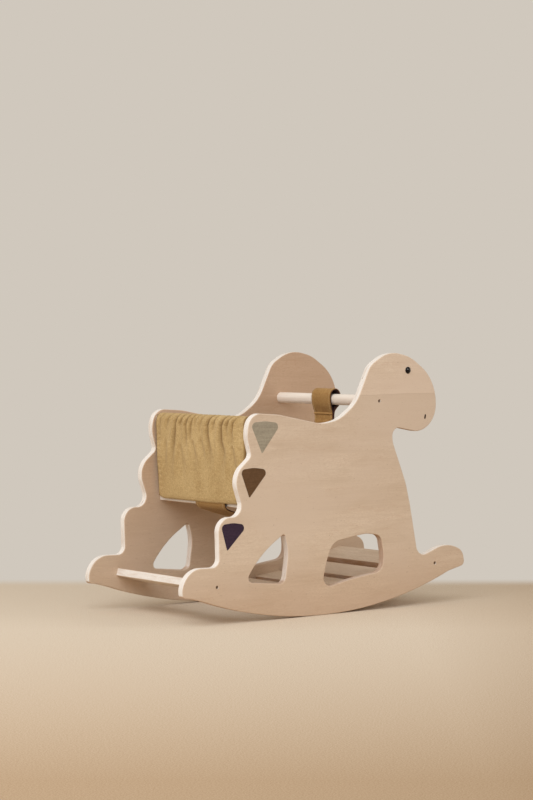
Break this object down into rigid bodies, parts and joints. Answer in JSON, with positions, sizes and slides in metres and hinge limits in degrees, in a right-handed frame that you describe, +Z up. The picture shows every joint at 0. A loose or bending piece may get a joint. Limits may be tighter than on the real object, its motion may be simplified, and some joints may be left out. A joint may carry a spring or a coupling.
{
  "type": "rocking horse",
  "caption": "Plywood animal-shaped rocking horse with seat, footboards, handlebar, cloth back and a strap looped to the bar.",
  "frame": {"origin": "on the floor under the middle of the rocker's length and width, in the pose where it stands level as used", "axes": "+X forward towards the nose, +Y to the animal's left, +Z up"},
  "size_m": [0.7, 0.3308, 0.5015],
  "materials": {
    "plywood": "birch plywood, clear matt lacquer, sanded edges",
    "hardwood": "turned light hardwood, clear matt lacquer",
    "cloth": "ochre plain-woven cotton, washed",
    "eye_black": "glossy black",
    "dark_steel": "dark bronzed steel",
    "paint_sage": "matt printed paint, grey sage",
    "paint_brown": "matt printed paint, brown",
    "paint_aubergine": "matt printed paint, dark aubergine",
    "lining": "dark aubergine plain-woven cotton"
  },
  "bodies": {
    "root": {"side_panel_right": "plywood", "side_panel_left": "plywood", "seat_board": "plywood", "rear_cross_board": "plywood", "footboard_1": "plywood", "footboard_2": "plywood", "footboard_3": "plywood", "footboard_4": "plywood", "handlebar": "hardwood", "backrest_rod": "hardwood", "rear_cross_board_pin_1_right": "hardwood", "rear_cross_board_pin_1_left": "hardwood", "footboard_1_pin_1_right": "hardwood", "footboard_1_pin_1_left": "hardwood", "footboard_1_pin_2_right": "hardwood", "footboard_1_pin_2_left": "hardwood", "footboard_2_pin_1_right": "hardwood", "footboard_2_pin_1_left": "hardwood", "footboard_2_pin_2_right": "hardwood", "footboard_2_pin_2_left": "hardwood", "footboard_3_pin_1_right": "hardwood", "footboard_3_pin_1_left": "hardwood", "footboard_3_pin_2_right": "hardwood", "footboard_3_pin_2_left": "hardwood", "footboard_4_pin_1_right": "hardwood", "footboard_4_pin_1_left": "hardwood", "seat_pin_1_right": "hardwood", "seat_pin_1_left": "hardwood", "seat_pin_2_right": "hardwood", "seat_pin_2_left": "hardwood", "seat_pin_3_right": "hardwood", "seat_pin_3_left": "hardwood", "backrest_fabric": "cloth", "strap_fabric": "cloth", "eye_right": "eye_black", "eye_left": "eye_black", "handlebar_screw_right": "dark_steel", "handlebar_screw_left": "dark_steel", "rear_board_screw_right": "dark_steel", "rear_board_screw_left": "dark_steel", "front_board_screw_right": "dark_steel", "front_board_screw_left": "dark_steel"}
  },
  "joints": []
}
